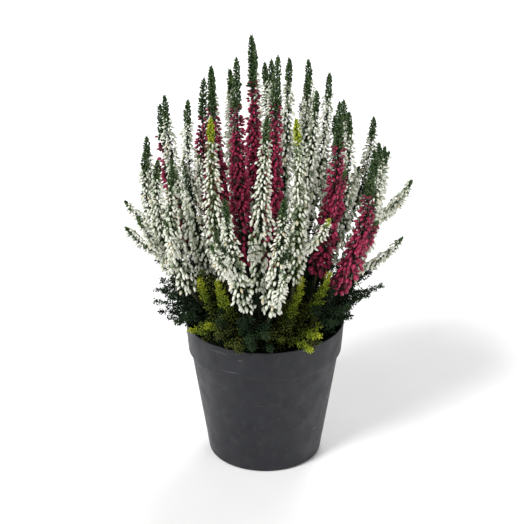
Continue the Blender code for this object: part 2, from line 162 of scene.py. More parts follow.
# Kinds of the outer stems, counted anticlockwise from the front, and of the inner stems
OUTER_KINDS = ("white", "lime", "crimson", "white", "white", "white",
               "white", "lime", "crimson", "white", "white", "lime")
INNER_KINDS = ("crimson", "white", "white")
INNER_TURN = -25.0
INNER_FAN = (-38.0, 0.0, 38.0)
SKIRT_FAN = {"white": (-8.0, 8.0), "crimson": (0.0,), "lime": ()}
SHOOT_FAN = {"white": (), "crimson": (), "lime": (-10.0, 10.0)}
LIME_SHOOT_RING = Ring(*mm(41, 24, 60, 64, 4), SHOOT_RADIUS)


def polar(radius, degrees, height):
    """A point at a radius and azimuth from the pot's axis, and a height above the soil."""
    angle = radians(degrees)
    return Vector((radius * cos(angle), radius * sin(angle), SOIL_HEIGHT + height))


def outward_of(point):
    return Vector((point.x, point.y, 0)).normalized()


def beads_on(curve):
    count = max(3, int(curve.length() / BEAD_SPACING) + 1)
    return [curve.at(i / (count - 1)) for i in range(count)]


class Space:
    """The room that is taken, as beads along every axis, and whose they are."""

    def __init__(self):
        self.taken = []
        self.tree = None

    def room(self, curve, radius, owner=None):
        """How far a body along the curve keeps off what others took nearby."""
        if self.tree is None:
            self.tree = KDTree(len(self.taken))
            for i, (centre, _, _) in enumerate(self.taken):
                self.tree.insert(centre, i)
            self.tree.balance()
        least = CLEARANCE + WIDEST
        for bead in beads_on(curve):
            for _, i, apart in self.tree.find_range(bead, radius + WIDEST + CLEARANCE):
                _, other_radius, other_owner = self.taken[i]
                if other_owner != owner:
                    least = min(least, apart - radius - other_radius)
        return least

    def take(self, curve, radius, owner):
        self.taken += [(bead, radius, owner) for bead in beads_on(curve)]
        self.tree = None


def ring_curve(ring, degrees, draw, extra_height):
    """The axis of a spike or shoot: out from its ring, then up."""
    start = polar(ring.start_radius + draw.uniform(-1, 1) * MM, degrees + draw.uniform(-2, 2),
                  ring.start_height + draw.uniform(-4, 4) * MM)
    end = polar(ring.end_radius * draw.uniform(0.88, 1.06), degrees + draw.uniform(-9, 9),
                ring.end_height * draw.uniform(0.9, 1.04) + extra_height)
    control = (start + end) / 2 + outward_of(start) * ring.bulge - UP * (ring.bulge / 2)
    return Curve(start, control, end)


def placed(space, ring, degrees, draw, owner, extra_height=0.0):
    """The first of some drawn axes that is clear of what is there, or else the clearest."""
    best, most_room = None, -1.0
    for _ in range(DRAWS_PER_PLACE):
        curve = ring_curve(ring, degrees, draw, extra_height)
        room = space.room(curve, ring.body_radius, owner)
        if room > most_room:
            best, most_room = curve, room
        if room > CLEARANCE:
            break
    space.take(best, ring.body_radius, owner)
    return best


def side_shoot(limb, t, draw, length, reach):
    """A shoot from a place on a limb, which curves up and ends aside of it."""
    start = limb.at(t)
    along = limb.along(t)
    pull = Vector((draw.gauss(0, 1), draw.gauss(0, 1), draw.gauss(0.25, 0.5))) + outward_of(start) * 0.9
    aside = (pull - along * pull.dot(along)).normalized()
    height = sqrt(length**2 - reach**2)
    control = start + aside * reach * 0.75 + along * height * 0.3
    return Curve(start, control, start + aside * reach + along * height)


def side_spike(space, curve, owner, draw):
    """A short spike on the lower part of a long one, listed if it finds room."""
    for _ in range(DRAWS_PER_PLACE):
        side = side_shoot(curve, draw.uniform(*SIDE_PLACES), draw, draw.uniform(*SIDE_LENGTHS),
                          draw.uniform(*SIDE_REACHES))
        if space.room(side, SIDE_RADIUS, owner) > CLEARANCE:
            space.take(side, SIDE_RADIUS, owner)
            return [side]
    return []


def drawn_twig(limbs, places, lengths, reaches, draw):
    """A shoot from some place on one of the limbs, with a reach in proportion to its length."""
    length = draw.uniform(*lengths)
    return side_shoot(draw.choice(limbs), draw.uniform(*places), draw, length,
                      length * draw.uniform(*reaches))


def clear_of_pot(curve, radius):
    """Whether a twig keeps off the soil and off the rim, inside it or above it."""
    lowest = SOIL_HEIGHT + SOIL_MOUND + 1 * MM
    inside = RIM_RADIUS - WALL - COLLAR_TAPER - 1 * MM
    for i in range(9):
        point = curve.at(i / 8)
        out = hypot(point.x, point.y)
        if point.z < lowest + radius * min(1, i / 2):
            return False
        if point.z < POT_HEIGHT + radius + 1 * MM and out + radius > inside:
            return False
    return True


def grown_twigs(space, limbs, owner, draw):
    """The leafy twigs of one stem, which touch nothing else."""
    twigs = []
    for _ in range(TWIG_DRAWS):
        if len(twigs) == TWIGS_PER_STEM:
            break
        curve = drawn_twig(limbs, TWIG_PLACES, TWIG_LENGTHS, TWIG_REACHES, draw)
        leafy = Curve(curve.at(TWIG_BASE_SHARE), curve.at(0.7), curve.end)
        crowded = any((curve.start - twig.start).length < TWIG_RADIUS for twig in twigs)
        if crowded or not clear_of_pot(curve, TWIG_RADIUS):
            continue
        if min(space.room(curve, TWIG_RADIUS, owner), space.room(leafy, TWIG_RADIUS)) > CLEARANCE:
            space.take(curve, TWIG_RADIUS, owner)
            twigs.append(curve)
    return twigs


def branch_to(fork, curve):
    """The branch from a fork that ends just short of a spike's foot."""
    along = curve.along(0)
    end = curve.start - along * GAP
    return Curve(fork, end - along * (end - fork).length * 0.5, end)


def stem_plan():
    """Kind, place and azimuth of every stem."""
    return [(kind, place, FRONT + turn + i * 360 / len(kinds))
            for place, turn, kinds in (("inner", INNER_TURN, INNER_KINDS), ("outer", 0.0, OUTER_KINDS))
            for i, kind in enumerate(kinds)]


def spike_plan(kind, place, degrees):
    """Ring and azimuth of every spike that a stem carries."""
    if place == "inner":
        return [("core", degrees)] + [("inner", degrees + turn) for turn in INNER_FAN]
    return [("outer", degrees)] + [("skirt", degrees + turn) for turn in SKIRT_FAN[kind]]


def laid_out_spikes(space, draw):
    """Every spike with its side spikes, and the long spikes' curves stem by stem."""
    spikes, curves_by_stem = [], []
    counts = {"white": 0, "crimson": 0}
    for kind, place, degrees in stem_plan():
        colour = "crimson" if kind == "crimson" else "white"
        leaf = "lime_leaf" if kind == "lime" else "dark_leaf"
        extra_height = CRIMSON_EXTRA_HEIGHT if colour == "crimson" else 0.0
        curves_by_stem.append([])
        for ring, azimuth in spike_plan(kind, place, degrees):
            curve = placed(space, RINGS[ring], azimuth, draw, -1 - len(spikes), extra_height)
            counts[colour] += 1
            spikes.append(Spike(f"{colour}_spike_{counts[colour]:02d}", colour, leaf, ring, curve, []))
            curves_by_stem[-1].append(curve)
    for i, spike in enumerate(spikes):
        if spike.ring not in HIDDEN_RINGS:
            spike.sides.extend(side_spike(space, spike.curve, -1 - i, draw))
    return spikes, curves_by_stem


def laid_out_plant():
    """Every spike and every stem of the plant, each clear of the others."""
    draw = random.Random(SEED)
    space = Space()
    spikes, curves_by_stem = laid_out_spikes(space, draw)
    stems = []
    for number, (kind, place, degrees) in enumerate(stem_plan()):
        hole_radius, fork_radius, fork_height = FORKS[place]
        hole = polar(hole_radius, degrees, 0)
        fork = polar(fork_radius, degrees, fork_height)
        ground = hole + UP * TRUNK_STRAIGHT
        trunk = Curve(ground, ground + UP * ((fork - ground).length * 0.5), fork)
        shoots = [placed(space, LIME_SHOOT_RING, degrees + turn, draw, number) for turn in SHOOT_FAN[kind]]
        branches = [branch_to(fork, curve) for curve in curves_by_stem[number] + shoots]
        for limb in [trunk] + branches:
            space.take(limb, TRUNK_RADIUS, number)
        colour = "lime" if kind == "lime" else "dark"
        stems.append(Stem(f"{colour}_leafy_stem_{number + 1:02d}", colour + "_leaf", degrees, hole, trunk,
                          branches, shoots))
    for number, stem in enumerate(stems):
        stem.twigs.extend(grown_twigs(space, [stem.trunk, *stem.branches], number, draw))
    return spikes, stems


# Rings and templates: buds, a leaf, a sprig and a crumb, which many places share
Template = namedtuple("Template", "points faces along ridge")
Item = namedtuple("Item", "place heading side length width tone")

# Height on the sprig's stem, reach and lift of each pair of leaves
SPRIG_PAIRS = [(0.1, 0.4, 0.22), (0.3, 0.42, 0.24), (0.52, 0.38, 0.26), (0.74, 0.3, 0.3)]
LEAFLET_HALF_WIDTH = 0.13


def plain(radius, height, j):
    return radius


def turned(profile, sides, reach=plain):
    """Rings of points round the Z axis, for a profile of (radius, height) pairs."""
    points = []
    for radius, height in profile:
        for j in range(sides):
            angle = 2 * pi * j / sides
            far = reach(radius, height, j)
            points.append((far * cos(angle), far * sin(angle), height))
    return points


def bands(rings, sides, first=0):
    """Four-cornered faces between rings of points, from a first point up."""
    return [(low + j, low + (j + 1) % sides, low + sides + (j + 1) % sides, low + sides + j)
            for low in range(first, first + (rings - 1) * sides, sides) for j in range(sides)]


def capped(profile, sides, reach=plain):
    """Points and faces of a turned shape with flat ends."""
    points = turned(profile, sides, reach)
    ends = range(sides)[::-1], range(len(points) - sides, len(points))
    return points, bands(len(profile), sides) + [tuple(end) for end in ends]


def halved(quads):
    return [half for a, b, c, d in quads for half in ((a, b, c), (a, c, d))]


def closed_faces(rings, sides):
    """Triangles over a first point, rings of points and a last point."""
    top = 1 + (rings - 1) * sides
    faces = halved(bands(rings, sides, 1))
    for j in range(sides):
        k = (j + 1) % sides
        faces += [(0, 1 + k, 1 + j), (top + j, top + k, top + sides)]
    return np.array(faces)


def spindle(profile, sides, ridge_depth=0.0):
    """A closed spindle from 0 to 1 along +Z, with low ridges."""
    rings = turned(profile, sides, lambda radius, height, j: radius * (1 + ridge_depth * (-1) ** j))
    points = np.array([(0, 0, 0), *rings, (0, 0, 1)])
    ridge = [0.5, *(j % 2 for _ in profile for j in range(sides)), 0.5]
    return Template(points, closed_faces(len(profile), sides), points[:, 2], np.array(ridge))


def leaf_shape():
    """A scale leaf from 0 to 1 along +Z, keeled on +Y, which faces its shoot, and bent out at the tip."""
    points = np.array([(0, 0, 0), (-0.5, 0, 0.4), (0, 0.42, 0.45), (0.5, 0, 0.4), (0, -0.2, 1)])
    faces = np.array([(0, 1, 2), (0, 2, 3), (0, 3, 1), (4, 2, 1), (4, 3, 2), (4, 1, 3)])
    return Template(points, faces, points[:, 2], np.zeros(len(points)))


def sprig_shape():
    """A sprig from 0 to 1 along +Z: a thin stem with pairs of small leaves."""
    stem = spindle([(0.03, 0.5)], 3)
    sprig = Shell()
    sprig.add(stem.points, stem.faces, 0, stem.along, 0)
    for i, (height, reach, lift) in enumerate(SPRIG_PAIRS):
        for k in range(2):
            angle = pi * (k + 0.5 * i + 0.13 * (i // 2))
            out = Vector((cos(angle), sin(angle), 0))
            side = UP.cross(out) * LEAFLET_HALF_WIDTH
            foot = UP * height
            middle = foot + out * reach * 0.5 + UP * (lift * 0.15)
            corners = [foot, middle + side, middle - side, foot + out * reach + UP * lift]
            faces = np.array([(0, 2, 1), (0, 1, 3), (0, 3, 2), (1, 2, 3)])
            sprig.add(np.array(corners), faces, 0, (0.2, 0.5, 0.5, 1), 0)
    points, faces, _, along, ridge = sprig.joined()
    return Template(points, faces, along, ridge)


class Shell:
    """The triangles of one piece, with each point's tone, share along its part, and ridge."""

    def __init__(self):
        self.parts = []
        self.count = 0

    def add(self, points, faces, tone, along, ridge):
        values = [np.broadcast_to(value, len(points)) for value in (tone, along, ridge)]
        self.parts.append((points, faces + self.count, *values))
        self.count += len(points)

    def joined(self):
        return [np.concatenate(column) for column in zip(*self.parts)]

    def add_items(self, template, items):
        """A template at every item: +Z runs along its heading, +X along its side."""
        place, heading, side = (np.array([item[i] for item in items]) for i in range(3))
        length, width, tone = np.array([item[3:] for item in items]).T
        heading /= np.linalg.norm(heading, axis=1, keepdims=True)
        side -= heading * np.sum(side * heading, axis=1, keepdims=True)
        side /= np.linalg.norm(side, axis=1, keepdims=True)
        other = np.cross(heading, side)
        scaled = np.stack([side * width[:, None], other * width[:, None], heading * length[:, None]], 1)
        points = place[:, None, :] + np.einsum("nj,kji->kni", template.points, scaled)
        faces = template.faces[None] + np.arange(len(items))[:, None, None] * len(template.points)
        self.add(points.reshape(-1, 3), faces.reshape(-1, 3), np.repeat(tone, len(template.points)),
                 np.tile(template.along, len(items)), np.tile(template.ridge, len(items)))

    def add_tube(self, centres, radii, sides, tone, relief=lambda j, i: 1):
        """A closed tube through centres, with a relief at side j of ring i."""
        across = Vector((1, 0, 0))
        points = []
        for i, (centre, radius) in enumerate(zip(centres, radii)):
            before, after = centres[max(i - 1, 0)], centres[min(i + 1, len(centres) - 1)]
            along = (after - before).normalized()
            across = (across - along * across.dot(along)).normalized()
            other = along.cross(across)
            for j in range(sides):
                angle = 2 * pi * j / sides
                out = cos(angle) * across + sin(angle) * other
                points.append(centre + radius * relief(j, i) * out)
        last = len(points) - sides
        faces = halved(bands(len(centres), sides))
        for j in range(1, sides - 1):
            faces += [(0, j + 1, j), (last, last + j, last + j + 1)]
        share = np.repeat(np.linspace(0, 1, len(centres)), sides)
        self.add(np.array(points), np.array(faces), tone, share, 0)

    def piece(self, name, node, slot, look=None, smooth=True):
        points, faces, *values = self.joined()
        mesh = mesh_of(name, points.tolist(), faces.tolist())
        for key, value in zip(("tone", "along", "ridge"), values):
            layer = mesh.attributes.new(key, "FLOAT", "POINT")
            layer.data.foreach_set("value", value.astype(np.float32))
        if smooth:
            mesh.shade_smooth()
        dress(added(name, mesh), node, slot, look)


def mesh_of(name, points, faces):
    mesh = bpy.data.meshes.new(name)
    mesh.from_pydata(points, [], faces)
    return mesh


def added(name, data):
    made = bpy.data.objects.new(name, data)
    bpy.context.scene.collection.objects.link(made)
    return made


def dress(piece, node, slot, look=None):
    """Gives a piece its material and its place on the body, and hides the solid that it stands for."""
    piece.data.materials.append(MATERIALS[look or slot])
    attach(piece, "root")
    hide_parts(node)


OUTER_BUD = spindle([(0.33, 0.13), (0.52, 0.42), (0.36, 0.74)], 6, 0.07)
INNER_BUD = spindle([(0.48, 0.28), (0.42, 0.68)], 6, 0.07)
DEEP_BUD = spindle([(0.5, 0.3), (0.44, 0.7)], 4)
KNOB = spindle([(0.52, 0.3), (0.42, 0.72)], 4)
STALK = spindle([(0.5, 0.5)], 3)
LEAF = leaf_shape()
SPRIG = sprig_shape()
CRUMB = spindle([(0.42, 0.2), (0.46, 0.7)], 5, 0.16)


# Materials
MIX_FACTOR, MIX_FIRST, MIX_SECOND, MIX_RESULT = 0, 6, 7, 2


def opaque(value):
    """A colour or grey with its alpha. A socket stays as it is."""
    if isinstance(value, bpy.types.NodeSocket):
        return value
    return (*value, 1) if isinstance(value, tuple) else (value, value, value, 1)


class Look:
    """A Principled material and short ways to its nodes."""

    def __init__(self, name, roughness, specular):
        self.material = bpy.data.materials.new(name)
        self.material.use_nodes = True
        self.tree = self.material.node_tree
        self.inputs = self.tree.nodes["Principled BSDF"].inputs
        self.inputs["Roughness"].default_value = roughness
        self.inputs["Specular IOR Level"].default_value = specular

    def node(self, kind, inputs=(), **settings):
        made = self.tree.nodes.new(kind)
        for key, value in settings.items():
            setattr(made, key, value)
        for key, value in dict(inputs).items():
            if isinstance(value, bpy.types.NodeSocket):
                self.tree.links.new(value, made.inputs[key])
            else:
                made.inputs[key].default_value = value
        return made

    def value(self, name):
        return self.node("ShaderNodeAttribute", attribute_name=name).outputs["Fac"]

    def noise(self, size, detail=3, stretch=(1, 1, 1), distortion=0):
        """Noise with features of about this size in metres."""
        place = self.node("ShaderNodeTexCoord").outputs["Object"]
        scaled = self.node("ShaderNodeMapping", {"Vector": place, "Scale": stretch}).outputs["Vector"]
        inputs = {"Vector": scaled, "Scale": 0.5 / size, "Detail": detail, "Distortion": distortion}
        return self.node("ShaderNodeTexNoise", inputs).outputs["Fac"]

    def ramp(self, factor, stops):
        """A ramp through (position, colour or grey) stops."""
        made = self.node("ShaderNodeValToRGB", {"Fac": factor})
        elements = made.color_ramp.elements
        while len(elements) < len(stops):
            elements.new(0.5)
        for element, (position, colour) in zip(elements, stops):
            element.position = position
            element.color = opaque(colour)
        return made.outputs["Color"]

    def mix(self, factor, first, second, blend="MIX"):
        inputs = {MIX_FACTOR: factor, MIX_FIRST: opaque(first), MIX_SECOND: opaque(second)}
        return self.node("ShaderNodeMix", inputs, data_type="RGBA", blend_type=blend).outputs[MIX_RESULT]

    def times(self, first, second):
        return self.mix(1, first, second, "MULTIPLY")

    def feed(self, name, socket):
        self.tree.links.new(socket, self.inputs[name])

    def colour(self, socket):
        self.feed("Base Color", socket)

    def roughness(self, size, detail, stops):
        self.feed("Roughness", self.ramp(self.noise(size, detail), stops))

    def bump(self, height, distance, strength):
        inputs = {"Height": height, "Distance": distance, "Strength": strength}
        self.feed("Normal", self.node("ShaderNodeBump", inputs).outputs["Normal"])


def bud_look(name, length_stops, tone_stops, sepal_seam_shade):
    """Closed sepals: green at the base, pale or darker from bud to bud, with fine creases and stripes of
    painted shade where the sepals meet.
    """
    look = Look(name, 0.5, 0.4)
    body = look.ramp(look.value("along"), length_stops)
    toned = look.times(body, look.ramp(look.value("tone"), tone_stops))
    # Painted shade: every other side of a bud is darkened towards the seam colour.
    seam_shaded = look.mix(look.ramp(look.value("ridge"), [(0, 0.55), (0.35, 0)]), toned, sepal_seam_shade)
    look.colour(look.times(seam_shaded, look.ramp(look.noise(0.5 * MM), [(0.3, 0.84), (0.65, 1)])))
    look.roughness(0.9 * MM, 3, [(0.3, 0.42), (0.7, 0.6)])
    look.bump(look.noise(0.35 * MM, detail=2, stretch=(1, 1, 0.35)), 0.06 * MM, 0.5)
    return look.material


def leaf_look(name, tone_stops, tip, tip_share):
    """Scale leaves: darker in the shade of the plant, lighter at their tips."""
    look = Look(name, 0.55, 0.14)
    body = look.ramp(look.value("tone"), tone_stops)
    tipped = look.mix(look.ramp(look.value("along"), [(0.45, 0), (1, tip_share)]), body, tip)
    look.colour(look.times(tipped, look.ramp(look.noise(0.6 * MM), [(0.3, 0.7), (0.7, 1)])))
    look.roughness(1.2 * MM, 3, [(0.3, 0.48), (0.7, 0.66)])
    look.bump(look.noise(0.3 * MM, detail=2), 0.05 * MM, 0.5)
    return look.material


def bark_look():
    """Dark bark in strips, greener towards the end of a limb."""
    look = Look("bark", 0.8, 0.3)
    strips = look.noise(0.7 * MM, detail=4, stretch=(1, 1, 0.18), distortion=0.4)
    colour = look.ramp(strips, [(0.25, (0.014, 0.009, 0.006)), (0.55, (0.042, 0.029, 0.018)),
                                (0.8, (0.1, 0.078, 0.054))])
    green = look.ramp(look.value("along"), [(0.55, 0), (1, 0.45)])
    look.colour(look.mix(green, colour, (0.06, 0.085, 0.025)))
    look.bump(strips, 0.25 * MM, 0.8)
    return look.material


def peat_look():
    """Dark grains, with fibres of the highest tones paler."""
    look = Look("peat", 0.95, 0.2)
    grains = look.noise(0.8 * MM, detail=6)
    colour = look.ramp(grains, [(0.3, (0.006, 0.004, 0.003)), (0.55, (0.024, 0.015, 0.01)),
                                (0.75, (0.055, 0.036, 0.022))])
    tone = look.ramp(look.value("tone"), [(0, 0.5), (0.8, (1.2, 1.15, 1.1)), (1, (3.2, 2.7, 2.0))])
    look.colour(look.times(colour, tone))
    look.bump(grains, 0.4 * MM, 0.9)
    return look.material


def plastic_look():
    """Satin moulded plastic with a fine skin, dust, and scratches in patches."""
    look = Look("pot_plastic_worn", 0.42, 0.35)
    cloud = look.ramp(look.noise(14 * MM, detail=4),
                      [(0.3, (0.0075, 0.008, 0.0115)), (0.7, (0.0115, 0.012, 0.0165))])
    dust = look.ramp(look.noise(2.2 * MM, detail=8, stretch=(1, 1, 0.6)), [(0.52, 0), (0.78, 0.12)])
    dusty = look.mix(dust, cloud, (0.09, 0.085, 0.08))
    scratch = look.ramp(look.noise(3 * MM, detail=2, stretch=(0.35, 0.35, 5), distortion=0.9),
                        [(0.7, 0), (0.73, 0.3)])
    patch = look.ramp(look.noise(20 * MM, detail=1), [(0.52, 0), (0.6, 1)])
    scratched = look.node("ShaderNodeMath", {0: scratch, 1: patch}, operation="MULTIPLY").outputs["Value"]
    look.colour(look.mix(scratched, dusty, (0.26, 0.26, 0.27)))
    look.roughness(5 * MM, 6, [(0.3, 0.44), (0.7, 0.62)])
    look.bump(look.noise(0.45 * MM, detail=2), 0.03 * MM, 0.45)
    return look.material


MATERIALS = {
    "white_bud": bud_look(
        "white_bud_petals",
        length_stops=[(0, (0.14, 0.22, 0.06)), (0.12, (0.36, 0.44, 0.23)), (0.3, (0.74, 0.76, 0.66)),
                      (0.8, (0.84, 0.84, 0.76)), (1, (0.76, 0.74, 0.6))],
        # Low tones are painted shade for deep buds, and the real green of young buds near the tip. The rest
        # vary at random, up to a brown dried bud.
        tone_stops=[(0, (0.05, 0.09, 0.04)), (0.16, (0.16, 0.23, 0.12)), (0.3, (0.6, 0.66, 0.54)),
                    (0.5, (0.95, 0.96, 0.93)), (0.96, 1), (1, (0.86, 0.72, 0.52))],
        # Painted shade in the stripes where the sepals meet.
        sepal_seam_shade=(0.46, 0.49, 0.36)),
    "crimson_bud": bud_look(
        "crimson_bud_petals",
        length_stops=[(0, (0.05, 0.05, 0.02)), (0.12, (0.12, 0.008, 0.022)), (0.36, (0.27, 0.006, 0.045)),
                      (0.8, (0.36, 0.012, 0.07)), (1, (0.48, 0.07, 0.15))],
        # Low tones are painted shade for deep buds, and the greener, darker red of young buds near the tip.
        # The rest vary at random, up to bright pink.
        tone_stops=[(0, (0.12, 0.45, 0.2)), (0.25, (0.32, 0.4, 0.36)), (0.5, (0.66, 0.6, 0.62)),
                    (0.85, 1), (1, (1.35, 2.6, 1.6))],
        # Painted shade in the stripes where the sepals meet.
        sepal_seam_shade=(0.12, 0.003, 0.022)),
    "dark_leaf": leaf_look(
        "dark_leaf_scales",
        # Low tones are painted shade, near black for leaves deep in the plant. The last stop is brown, for a
        # few brown leaves.
        tone_stops=[(0, (0.002, 0.0075, 0.003)), (0.4, (0.008, 0.026, 0.009)), (0.75, (0.034, 0.07, 0.022)),
                    (0.97, (0.088, 0.135, 0.046)), (1, (0.1, 0.06, 0.022))],
        tip=(0.085, 0.14, 0.04), tip_share=0.22),
    "lime_leaf": leaf_look(
        "lime_leaf_scales",
        # Low tones are painted shade, near black for leaves deep in the plant. High tones are the bright lime
        # of new growth.
        tone_stops=[(0, (0.0025, 0.009, 0.003)), (0.3, (0.014, 0.04, 0.006)), (0.55, (0.13, 0.21, 0.01)),
                    (0.85, (0.36, 0.43, 0.018)), (1, (0.52, 0.55, 0.04))],
        tip=(0.55, 0.58, 0.07), tip_share=0.3),
    "bark": bark_look(),
    "soil_peat": peat_look(),
    "pot_plastic": plastic_look(),
}


# Leafy shoots. Leaves spread by so many degrees at each end of a shoot. A shoot's sprigs begin at a
# first share of its length, and their tone rises to its end. Low tones are painted shade, deep in the plant.
Leaves = namedtuple("Leaves", "length width step spread tone sway")
Shoot = namedtuple("Shoot", "radii stem_tone first lengths step tone rise")
Foliage = namedtuple("Foliage", "twigs filling_twigs filling ground_tones")

# Leaves on spikes, side spikes and branches start at low tones: painted shade inside the plant.
LEAVES = {
    "white": Leaves(4 * MM, 1.615 * MM, 1.3 * MM, (64, 40), 0.1, 0.7),
    "crimson": Leaves(2.75 * MM, 1.02 * MM, 1.3 * MM, (64, 40), 0.1, 0.7),
    "side": Leaves(3 * MM, 0.85 * MM, 1.3 * MM, (60, 30), 0.15, 0.25),
    "tip": Leaves(2.9 * MM, 1.1 * MM, 0.9 * MM, (48, 24), 0.42, 0.25),
    "tip_sprig": Leaves(2.5 * MM, 0.9775 * MM, 0.95 * MM, (50, 22), 0.52, 0.25),
    "branch": Leaves(3.5 * MM, 1.02 * MM, 1.4 * MM, (64, 45), 0.05, 0.25),
}
# Filling twigs and ground shoots take low tones: painted shade inside the plant and at its foot.
FOLIAGE = {
    "dark_leaf": Foliage(Shoot(mm(0.55, 0.22), 0.4, 0.1, mm(4.8, 7.2), 2.3 * MM, 0.3, 0.25),
                         9, Shoot(mm(0.4, 0.2), 0.1, 0.1, mm(6, 9), 3 * MM, 0.08, 0.15), (0.05, 0.35)),
    "lime_leaf": Foliage(Shoot(mm(0.55, 0.22), 0.4, 0.08, mm(4.6, 7), 2 * MM, 0.12, 0.8),
                         7, Shoot(mm(0.4, 0.2), 0.1, 0.1, mm(6, 9), 3 * MM, 0.0, 0.15), (0.0, 0.1)),
}
GROUND_SHOOT = Shoot(mm(0.55, 0.2), 0, 0.2, mm(4.8, 7.2), 2.4 * MM, 0, 0.25)
GREEN_SHOOT = Shoot(mm(0.5, 0.2), 0.5, 0.3, mm(3.4, 5.4), 1.7 * MM, 0.6, 0.32)
LEAF_OFF_AXIS = 0.25 * MM
TIP_SPRIG_LENGTHS = mm(3.4, 5.4)
TIP_SPRIG_RADII = mm(0.32, 0.26, 0.12)
TIP_SPRIGS_END = 0.9


def across_of(along):
    """A level direction across a shoot, or any one if that stands upright."""
    level = UP.cross(along)
    return level.normalized() if level.length > 0.05 else Vector((1, 0, 0))


def around(along, angle):
    across = across_of(along)
    return cos(angle) * across + sin(angle) * along.cross(across)


def leaning(along, out, degrees):
    pitch = radians(degrees)
    return along * cos(pitch) + out * sin(pitch)


def varied(tone, spread, draw):
    return min(1, max(0, tone + draw.uniform(-spread, spread)))


def leaves_along(curve, first, last, leaves, draw):
    """Scale leaves in four rows between two shares of a shoot."""
    items = []
    whorls = max(2, int(curve.length(first, last) / leaves.step))
    turn = draw.uniform(0, pi)
    for i in range(whorls):
        share = (i + 0.5) / whorls
        centre, along = curve.on(first + (last - first) * share)
        spread = between(leaves.spread, share)
        for k in range(2):
            sway = draw.uniform(-leaves.sway, leaves.sway)
            out = around(along, turn + k * pi + (i % 2) * pi / 2 + sway)
            heading = leaning(along, out, spread + draw.uniform(-9, 9))
            length = leaves.length * draw.uniform(0.8, 1.12) * (1 - 0.3 * share)
            items.append(Item(centre + out * LEAF_OFF_AXIS, heading, along.cross(out), length, leaves.width,
                              varied(leaves.tone + 0.25 * share, 0.16, draw)))
    return items


def sprigs_on(curve, shoot, draw):
    """Sprigs in pairs up to the blunt end of a shoot."""
    items = []
    pairs = max(2, int(curve.length(shoot.first) / shoot.step))
    turn = draw.uniform(0, pi)
    for i in range(pairs + 1):
        share = min(1, (i + draw.uniform(0.2, 0.6)) / pairs)
        start, along = curve.on(shoot.first + (1 - shoot.first) * share)
        for k in range(2):
            out = around(along, turn + k * pi + i * 1.9 + draw.uniform(-0.4, 0.4))
            heading = leaning(along, out, 58 - 34 * share**2 + draw.uniform(-10, 10))
            length = draw.uniform(*shoot.lengths) * (1 - 0.35 * share)
            tone = varied(shoot.tone + shoot.rise * share, 0.15, draw)
            items.append(Item(start, heading, around(out, draw.uniform(0, 3)), length, length, tone))
    return items


def tapered(curve, radii, steps):
    """Places along a curve, and the radius at each."""
    shares = [i / steps for i in range(steps + 1)]
    return [curve.at(share) for share in shares], [between(radii, share) for share in shares]


def add_stem(shell, curve, radii, tone, steps=6):
    shell.add_tube(*tapered(curve, radii, steps), 5, tone)


def add_shoot(shell, curve, shoot, draw):
    add_stem(shell, curve, shoot.radii, shoot.stem_tone)
    shell.add_items(SPRIG, sprigs_on(curve, shoot, draw))


def add_tip_sprigs(shell, curve, first, step, draw):
    """Short sprigs with scale leaves at the tip of a spike, two by two."""
    items = []
    pairs = max(1, int(curve.length(first, TIP_SPRIGS_END) / step))
    turn = draw.uniform(0, pi)
    for i in range(pairs):
        share = (i + draw.uniform(0.2, 0.8)) / pairs
        start, along = curve.on(first + (TIP_SPRIGS_END - first) * share)
        for k in range(2):
            out = around(along, turn + k * pi + i * pi / 2 + draw.uniform(-0.4, 0.4))
            length = draw.uniform(*TIP_SPRIG_LENGTHS) * (1 - 0.45 * share)
            sprig = Curve(start, start + out * length * 0.42 + along * length * 0.25,
                          start + out * length * 0.62 + along * length * 0.78)
            shell.add_tube([start, sprig.at(0.5), sprig.end], TIP_SPRIG_RADII, 4, LEAVES["tip"].tone)
            items += leaves_along(sprig, 0.1, 1, LEAVES["tip_sprig"], draw)
    shell.add_items(LEAF, items)


# Flower spikes. Buds fill the flowering share of a spike, and nod by so many degrees at each end.
# Thinning is the share from which some are left out, and the most that are. Their reach swells from
# the foot of a spike, then tapers by a power of the share.
Flower = namedtuple("Flower", "flowering bud step nods thinning foot swell taper power tip_radius")
Buds = namedtuple("Buds", "outer inner stalks")

SIDE_FLOWERING = 0.95
FLOWERS = {
    "white": Flower(0.8895, mm(4.1, 1.9), 0.33 * MM, nods=(64, 22), thinning=(0.95, 0.4), foot=0.78,
                    swell=2.5, taper=0.5, power=2.4, tip_radius=2.2 * MM),
    "crimson": Flower(0.796, mm(4.1, 2.4), 0.2 * MM, nods=(48, 2), thinning=(0.66, 0.7), foot=0.78,
                      swell=2.5, taper=0.42, power=2.4, tip_radius=2.7 * MM),
    "side": Flower(SIDE_FLOWERING, mm(4.1, 1.9), 0.36 * MM, nods=(58, 15), thinning=(0.95, 0.4), foot=0.3,
                   swell=1.2 * SIDE_FLOWERING, taper=0.4 * SIDE_FLOWERING**1.6, power=1.6,
                   tip_radius=1.3 * MM),
}
TIP_SPRIG_STEPS = {"white": 4.5 * MM, "crimson": 2.9 * MM}
AXIS_RADII = mm(0.75, 0.3)
SIDE_AXIS_RADII = mm(0.6, 0.25)
TURN_TO_NEXT = radians(137.508)
NOD_SPREAD = 20
HELD_SHARE = 0.6
BUD_SUNK = 0.7 * MM
HIDDEN_SHARE = 0.35
HIDDEN_KEPT = 0.5
INNER_SHARE = 0.34
OUTER_LAYERS = (1.0, 0.68)
INNER_LAYERS = (0.66, 0.35)
OUTER_TONES = (0.45, 1.0)
